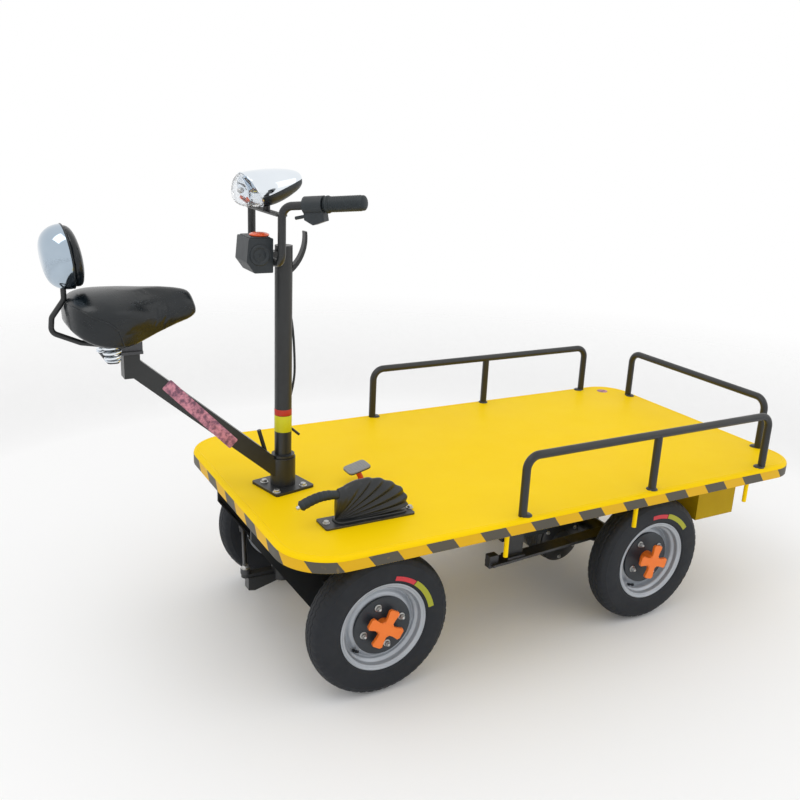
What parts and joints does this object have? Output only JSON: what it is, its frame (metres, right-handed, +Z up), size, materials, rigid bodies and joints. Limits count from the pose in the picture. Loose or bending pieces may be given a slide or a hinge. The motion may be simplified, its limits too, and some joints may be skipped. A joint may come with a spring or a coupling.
{
  "type": "electric platform cart",
  "caption": "Ride-on electric platform cart: flat railed deck on steered pneumatic wheels, tiller column with handlebar and headlight, and a swing-out saddle.",
  "frame": {"origin": "on the floor, under the middle of the whole cart's bounding box", "axes": "+X towards the rear of the cart, +Y towards its far long side (the rider's right), +Z up"},
  "size_m": [2.35, 1, 1.4275],
  "materials": {
    "deck_yellow": "satin yellow paint",
    "frame_black": "semi-gloss black paint",
    "dark_steel": "dark bare steel",
    "box_yellow": "yellow paint in the shade",
    "black_plastic": "moulded black plastic",
    "soft_black": "soft black vinyl boot",
    "grey_rubber": "grey ribbed rubber",
    "bright_chrome": "bright chrome plating",
    "clear_lens": "clear moulded lens",
    "orange_plastic": "glossy orange-red plastic",
    "grip_rubber": "ribbed dark rubber",
    "saddle_vinyl": "dark grained vinyl over foam",
    "tyre_rubber": "dark tyre rubber",
    "rim_silver": "silver rim paint",
    "hub_dark": "dark hub paint",
    "cap_orange": "orange paint"
  },
  "bodies": {
    "chassis": {"deck": "deck_yellow", "under_frame": "frame_black", "guard_rail_near": "frame_black", "guard_rail_far": "frame_black", "guard_rail_rear": "frame_black", "column_foot": "frame_black", "front_axle": "frame_black", "axle_hanger_near": "frame_black", "axle_hanger_far": "frame_black", "rear_axle": "frame_black", "leaf_spring_near": "dark_steel", "leaf_spring_far": "dark_steel", "battery_box": "box_yellow", "controller_box": "black_plastic", "brake_plate": "dark_steel", "brake_boot": "soft_black", "brake_lever": "black_plastic", "foot_pedal": "grey_rubber"},
    "steering": {"steering_column": "frame_black", "column_cable": "black_plastic", "handlebar": "frame_black", "headlight_shell": "bright_chrome", "headlight_lens": "clear_lens", "control_box": "black_plastic", "box_button": "orange_plastic", "grip_near": "grip_rubber", "grip_far": "grip_rubber", "lever_clamp_near": "black_plastic", "lever_clamp_far": "black_plastic"},
    "knuckle_near_body": {"knuckle_near": "frame_black"},
    "knuckle_far_body": {"knuckle_far": "frame_black"},
    "drag_link_body": {"drag_link": "dark_steel"},
    "tie_rod_body": {"tie_rod": "dark_steel"},
    "seat": {"seat_arm": "frame_black", "saddle_frame": "dark_steel", "saddle": "saddle_vinyl", "backrest_rod": "frame_black", "backrest_shell": "bright_chrome", "backrest_pad": "saddle_vinyl"},
    "wheel_front_near": {"tyre_front_near": "tyre_rubber", "rim_front_near": "rim_silver", "hub_front_near": "hub_dark", "cap_front_near": "cap_orange"},
    "wheel_front_far": {"tyre_front_far": "tyre_rubber", "rim_front_far": "rim_silver", "hub_front_far": "hub_dark", "cap_front_far": "cap_orange"},
    "wheel_rear_near": {"tyre_rear_near": "tyre_rubber", "rim_rear_near": "rim_silver", "hub_rear_near": "hub_dark", "cap_rear_near": "cap_orange"},
    "wheel_rear_far": {"tyre_rear_far": "tyre_rubber", "rim_rear_far": "rim_silver", "hub_rear_far": "hub_dark", "cap_rear_far": "cap_orange"}
  },
  "joints": [
    {"name": "steering_turn", "type": "hinge", "parent": "chassis", "child": "steering", "pos_m": [-0.537, 0, 0.7], "axis": [0, 0, 1], "range_deg": [-32, 32]},
    {"name": "knuckle_near_turn", "type": "hinge", "parent": "chassis", "child": "knuckle_near_body", "pos_m": [-0.439, -0.3, 0.216], "axis": [0, 0, 1], "range_deg": [-32, 32]},
    {"name": "knuckle_far_turn", "type": "hinge", "parent": "chassis", "child": "knuckle_far_body", "pos_m": [-0.439, 0.3, 0.216], "axis": [0, 0, 1], "range_deg": [-32, 32]},
    {"name": "drag_link_turn", "type": "hinge", "parent": "steering", "child": "drag_link_body", "pos_m": [-0.657, 0, 0.244], "axis": [0, 0, 1], "range_deg": [-32, 32]},
    {"name": "tie_rod_turn", "type": "hinge", "parent": "knuckle_near_body", "child": "tie_rod_body", "pos_m": [-0.319, -0.3, 0.244], "axis": [0, 0, 1], "range_deg": [-32, 32]},
    {"name": "seat_swing", "type": "hinge", "parent": "chassis", "child": "seat", "pos_m": [-0.537, 0, 0.56], "axis": [0, 0, 1], "range_deg": [-180, 180]},
    {"name": "wheel_front_near_spin", "type": "hinge", "parent": "knuckle_near_body", "child": "wheel_front_near", "pos_m": [-0.399, -0.378, 0.216], "axis": [0, 1, 0], "continuous": true},
    {"name": "wheel_front_far_spin", "type": "hinge", "parent": "knuckle_far_body", "child": "wheel_front_far", "pos_m": [-0.399, 0.378, 0.216], "axis": [0, 1, 0], "continuous": true},
    {"name": "wheel_rear_near_spin", "type": "hinge", "parent": "chassis", "child": "wheel_rear_near", "pos_m": [0.593, -0.388, 0.216], "axis": [0, 1, 0], "continuous": true},
    {"name": "wheel_rear_far_spin", "type": "hinge", "parent": "chassis", "child": "wheel_rear_far", "pos_m": [0.593, 0.388, 0.216], "axis": [0, 1, 0], "continuous": true}
  ],
  "couplings": [
    {"joint": "knuckle_near_turn", "follows": "steering_turn", "ratio": 1},
    {"joint": "knuckle_far_turn", "follows": "steering_turn", "ratio": 1},
    {"joint": "drag_link_turn", "follows": "steering_turn", "ratio": -1},
    {"joint": "tie_rod_turn", "follows": "steering_turn", "ratio": -1}
  ]
}
